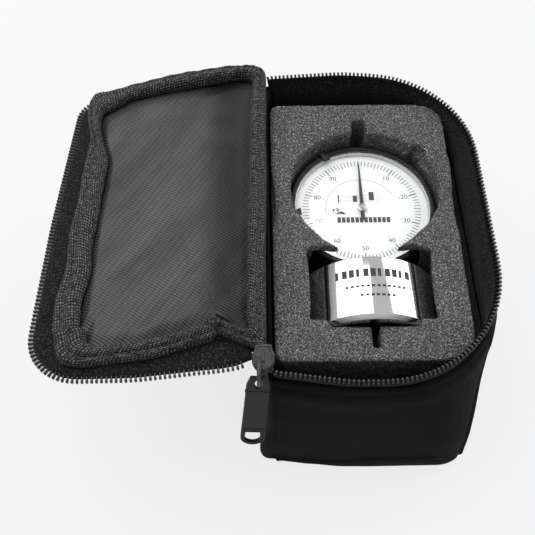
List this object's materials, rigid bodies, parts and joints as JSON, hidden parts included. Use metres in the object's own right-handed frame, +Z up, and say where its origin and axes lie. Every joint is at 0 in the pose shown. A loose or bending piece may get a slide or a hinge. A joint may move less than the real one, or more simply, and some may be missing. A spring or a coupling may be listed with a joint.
{
  "type": "drum tuner",
  "caption": "Dial tension gauge with a round steel base, lying in a die-cut foam insert inside a small zip case with its lid folded open.",
  "frame": {"origin": "middle of the case's flat floor, on its underside", "axes": "+X across the case away from the lid hinge, +Y along the case from the gauge's base to the top of its dial, +Z up"},
  "size_m": [0.1682, 0.1432, 0.0806],
  "materials": {
    "nylon": "woven nylon, matt with a slight sheen",
    "tape": "knitted zip tape, matt",
    "teeth": "moulded zip teeth, satin",
    "lining": "grey nylon twill, satin sheen",
    "foam": "open-cell foam, matt",
    "zip_metal": "black lacquered zinc, satin",
    "steel": "fine turned steel, bright",
    "bezel_black": "black enamel, gloss",
    "bright": "chrome plated",
    "dial": "white enamel, printed",
    "hand": "black, satin",
    "clear": "clear acrylic, polished",
    "brass": "turned brass"
  },
  "bodies": {
    "case": {"case_tub": "nylon", "zip_tape_tub": "tape", "zip_chain_tub": "teeth", "hinge_strip": "nylon", "foam_base": "foam", "foam_insert": "foam"},
    "lid": {"lid_panel": "nylon", "lid_lining": "lining", "lid_seam": "nylon", "zip_tape_lid": "tape", "zip_chain_lid": "teeth"},
    "slider": {"zip_slider": "zip_metal", "zip_slider_bail": "zip_metal"},
    "pull": {"zip_pull": "zip_metal"},
    "gauge": {"gauge_base": "steel", "base_set_screw": "bezel_black", "stem": "bright", "top_bush": "bright", "indicator_case": "bezel_black", "back_cover": "bezel_black", "cover_screw_1": "steel", "cover_screw_2": "steel", "cover_screw_3": "steel", "cover_screw_4": "steel", "dial_plate": "dial", "lower_plate": "brass", "upper_plate": "brass", "pillar_1": "brass", "pillar_2": "brass", "pillar_3": "brass", "return_spring": "steel"},
    "clamp_screw": {"bezel_clamp_screw": "bezel_black"},
    "bezel": {"bezel": "bezel_black", "crystal_ring": "bright", "crystal": "clear"},
    "marker_1": {"bezel_marker_1": "bezel_black"},
    "marker_2": {"bezel_marker_2": "bezel_black"},
    "spindle": {"spindle": "steel", "spindle_cap": "bezel_black", "contact_point": "steel", "spindle_pin": "steel"},
    "long_hand": {"long_hand": "hand", "centre_pinion": "brass"},
    "rack_wheel": {"rack_wheel": "brass"},
    "small_hand": {"small_hand": "hand", "counter_wheel": "brass"},
    "take_up_wheel": {"take_up_wheel": "brass", "hairspring": "steel"}
  },
  "joints": [
    {"name": "lid_hinge", "type": "hinge", "parent": "case", "child": "lid", "pos_m": [-0.0416, 0, 0.076], "axis": [0, 1, 0], "range_deg": [0, 178]},
    {"name": "gauge_lift", "type": "slide", "parent": "case", "child": "gauge", "axis": [0, 0, 1], "range_m": [0, 0.08]},
    {"name": "slider_run", "type": "slide", "parent": "case", "child": "slider", "axis": [0, -1, 0], "range_m": [0, 0.006]},
    {"name": "pull_swing", "type": "hinge", "parent": "slider", "child": "pull", "pos_m": [-0.0449, -0.0662, 0.0741], "axis": [-1, 0, 0], "range_deg": [0, 110]},
    {"name": "bezel_turn", "type": "hinge", "parent": "gauge", "child": "bezel", "pos_m": [-0.0035, 0.011, 0.0605], "axis": [0, 0, 1], "continuous": true},
    {"name": "marker_1_turn", "type": "hinge", "parent": "bezel", "child": "marker_1", "pos_m": [-0.0035, 0.011, 0.0605], "axis": [0, 0, 1], "range_deg": [-25, 25]},
    {"name": "marker_2_turn", "type": "hinge", "parent": "bezel", "child": "marker_2", "pos_m": [-0.0035, 0.011, 0.0605], "axis": [0, 0, 1], "range_deg": [-25, 25]},
    {"name": "clamp_screw_turn", "type": "hinge", "parent": "gauge", "child": "clamp_screw", "pos_m": [-0.0035, 0.011, 0.0537], "axis": [0.7071, 0.7071, 0], "range_deg": [0, 180]},
    {"name": "spindle_slide", "type": "slide", "parent": "gauge", "child": "spindle", "axis": [0, 1, 0], "range_m": [0, 0.001], "stiffness_N_per_m": 80, "springref_m": -0.005},
    {"name": "long_hand_turn", "type": "hinge", "parent": "gauge", "child": "long_hand", "pos_m": [-0.0035, 0.011, 0.0605], "axis": [0, 0, 1], "range_deg": [-361, 1]},
    {"name": "rack_wheel_turn", "type": "hinge", "parent": "gauge", "child": "rack_wheel", "pos_m": [-0.00714, 0.02138, 0.05], "axis": [0, 0, 1], "range_deg": [-1, 37]},
    {"name": "small_hand_turn", "type": "hinge", "parent": "gauge", "child": "small_hand", "pos_m": [-0.0133, 0.00996, 0.06], "axis": [0, 0, 1], "range_deg": [-37, 1]},
    {"name": "take_up_turn", "type": "hinge", "parent": "gauge", "child": "take_up_wheel", "pos_m": [0.00428, 0.00322, 0.055], "axis": [0, 0, 1], "range_deg": [-1, 37]}
  ],
  "couplings": [
    {"joint": "long_hand_turn", "follows": "spindle_slide", "rad_per_m": -6283.2},
    {"joint": "rack_wheel_turn", "follows": "spindle_slide", "rad_per_m": 628.32},
    {"joint": "small_hand_turn", "follows": "spindle_slide", "rad_per_m": -628.32},
    {"joint": "take_up_turn", "follows": "spindle_slide", "rad_per_m": 628.32}
  ]
}
